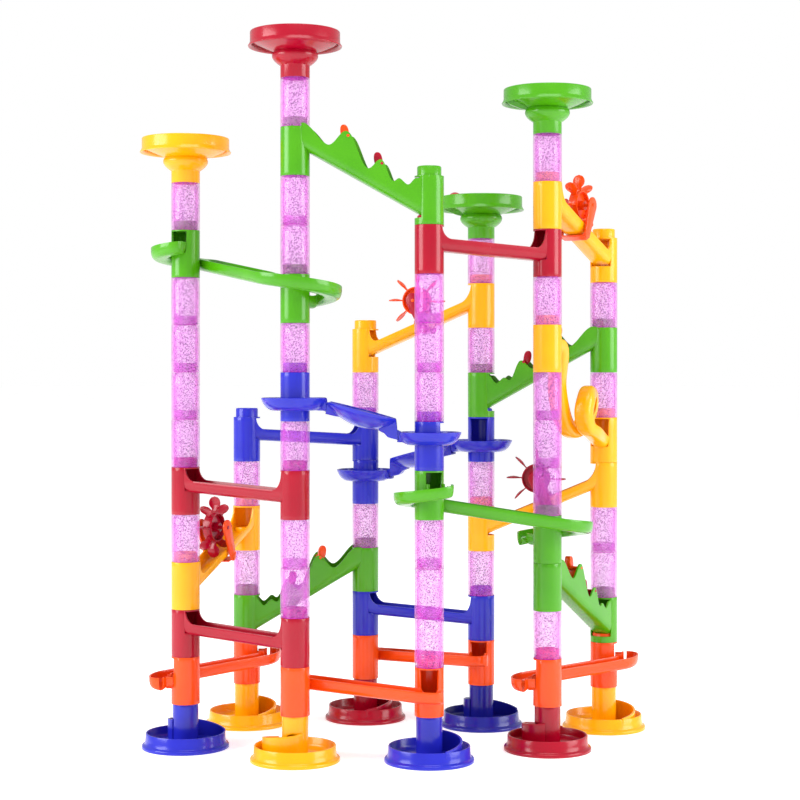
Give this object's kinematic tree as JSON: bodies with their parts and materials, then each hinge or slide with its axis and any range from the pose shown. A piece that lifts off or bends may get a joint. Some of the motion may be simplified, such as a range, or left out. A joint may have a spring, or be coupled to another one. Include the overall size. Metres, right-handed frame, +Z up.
{
  "type": "marble run",
  "caption": "Marble run of stacked tube towers in a ring, linked by straight, curved, dished, looped, slalom and wheel tracks, fed by funnels.",
  "frame": {"origin": "on the floor under the middle of the whole object", "axes": "+Z up the towers, +X to the right seen from the front, +Y to the back"},
  "size_m": [0.5486, 0.3182, 0.7435],
  "materials": {
    "red": "glossy crimson moulded plastic",
    "yellow": "glossy yellow moulded plastic",
    "orange": "glossy orange moulded plastic",
    "green": "glossy lime moulded plastic",
    "blue": "glossy royal blue moulded plastic",
    "navy": "glossy dark blue moulded plastic",
    "clear_pink": "clear pink plastic with glitter",
    "marble_red": "polished red"
  },
  "bodies": {
    "frame": {"base_1": "blue", "base_2": "yellow", "base_3": "blue", "base_4": "red", "base_5": "yellow", "base_6": "red", "base_7": "navy", "base_8": "yellow", "tubes_1_3": "clear_pink", "tubes_1_5": "clear_pink", "tubes_2_2": "clear_pink", "tubes_2_5": "clear_pink", "tubes_2_7": "clear_pink", "tubes_2_9": "clear_pink", "tubes_3_1": "clear_pink", "tubes_3_6": "clear_pink", "tubes_4_1": "clear_pink", "tubes_4_4": "clear_pink", "tubes_4_8": "clear_pink", "tubes_8_2": "clear_pink", "funnel_1": "yellow", "funnel_2": "red", "funnel_4": "green", "funnel_7": "green", "red_straight_a": "red", "red_straight_b": "red", "red_straight_c": "red", "blue_straight_a": "blue", "blue_straight_b": "blue", "wheel_track_a": "yellow", "wheel_track_b": "yellow", "wheel_track_c": "yellow", "wheel_track_d": "yellow", "slalom_a": "green", "slalom_b": "green", "slalom_c": "green", "slalom_d": "green", "green_curve_a": "green", "green_curve_b": "green", "orange_curve_a": "orange", "orange_curve_b": "orange", "orange_wavy_a": "orange", "orange_wavy_b": "orange", "dish_track_a": "blue", "dish_track_b": "blue", "loop_track": "yellow"},
    "wheel_a": {"wheel_a": "orange"},
    "wheel_b": {"wheel_b": "orange"},
    "wheel_c": {"wheel_c": "red"},
    "wheel_d": {"wheel_d": "red"},
    "flap_a_upper": {"flap_a_upper": "orange"},
    "flap_a_lower": {"flap_a_lower": "red"},
    "flap_b_upper": {"flap_b_upper": "orange"},
    "flap_b_lower": {"flap_b_lower": "red"},
    "flap_c_upper": {"flap_c_upper": "orange"},
    "flap_c_lower": {"flap_c_lower": "red"},
    "flap_d_upper": {"flap_d_upper": "orange"},
    "flap_d_lower": {"flap_d_lower": "red"},
    "marble": {"marble": "marble_red"}
  },
  "joints": [
    {"name": "wheel_a_turn", "type": "hinge", "parent": "frame", "child": "wheel_a", "pos_m": [0.19561, 0.00648, 0.57756], "axis": [-0.848, 0.5299, 0], "continuous": true},
    {"name": "wheel_b_turn", "type": "hinge", "parent": "frame", "child": "wheel_b", "pos_m": [0.01997, 0.09512, 0.47756], "axis": [-0.2924, -0.9563, 0], "continuous": true},
    {"name": "wheel_c_turn", "type": "hinge", "parent": "frame", "child": "wheel_c", "pos_m": [-0.20199, 0.01233, 0.22756], "axis": [0.9191, -0.394, 0], "continuous": true},
    {"name": "wheel_d_turn", "type": "hinge", "parent": "frame", "child": "wheel_d", "pos_m": [0.15334, 0.06664, 0.27756], "axis": [-0.1045, -0.9945, 0], "continuous": true},
    {"name": "flap_a_upper_swing", "type": "hinge", "parent": "frame", "child": "flap_a_upper", "pos_m": [-0.05166, -0.11171, 0.6362], "axis": [0.0175, 0.9998, 0], "range_deg": [-40, 40]},
    {"name": "flap_a_lower_swing", "type": "hinge", "parent": "frame", "child": "flap_a_lower", "pos_m": [-0.01742, -0.1123, 0.60795], "axis": [0.0175, 0.9998, 0], "range_deg": [-40, 40]},
    {"name": "flap_b_upper_swing", "type": "hinge", "parent": "frame", "child": "flap_b_upper", "pos_m": [0.17378, 0.06449, 0.4362], "axis": [-0.1045, -0.9945, 0], "range_deg": [-40, 40]},
    {"name": "flap_b_lower_swing", "type": "hinge", "parent": "frame", "child": "flap_b_lower", "pos_m": [0.13972, 0.06807, 0.40795], "axis": [-0.1045, -0.9945, 0], "range_deg": [-40, 40]},
    {"name": "flap_c_upper_swing", "type": "hinge", "parent": "frame", "child": "flap_c_upper", "pos_m": [-0.09231, 0.10052, 0.1862], "axis": [0.2303, -0.9731, 0], "range_deg": [-40, 40]},
    {"name": "flap_c_lower_swing", "type": "hinge", "parent": "frame", "child": "flap_c_lower", "pos_m": [-0.12564, 0.09263, 0.15795], "axis": [0.2303, -0.9731, 0], "range_deg": [-40, 40]},
    {"name": "flap_d_upper_swing", "type": "hinge", "parent": "frame", "child": "flap_d_upper", "pos_m": [0.18472, -0.01094, 0.1862], "axis": [-0.848, 0.5299, 0], "range_deg": [-40, 40]},
    {"name": "flap_d_lower_swing", "type": "hinge", "parent": "frame", "child": "flap_d_lower", "pos_m": [0.20287, 0.0181, 0.15795], "axis": [-0.848, 0.5299, 0], "range_deg": [-40, 40]},
    {"name": "marble_lift", "type": "slide", "parent": "frame", "child": "marble", "axis": [0, 0, 1], "range_m": [0, 0.06]}
  ]
}
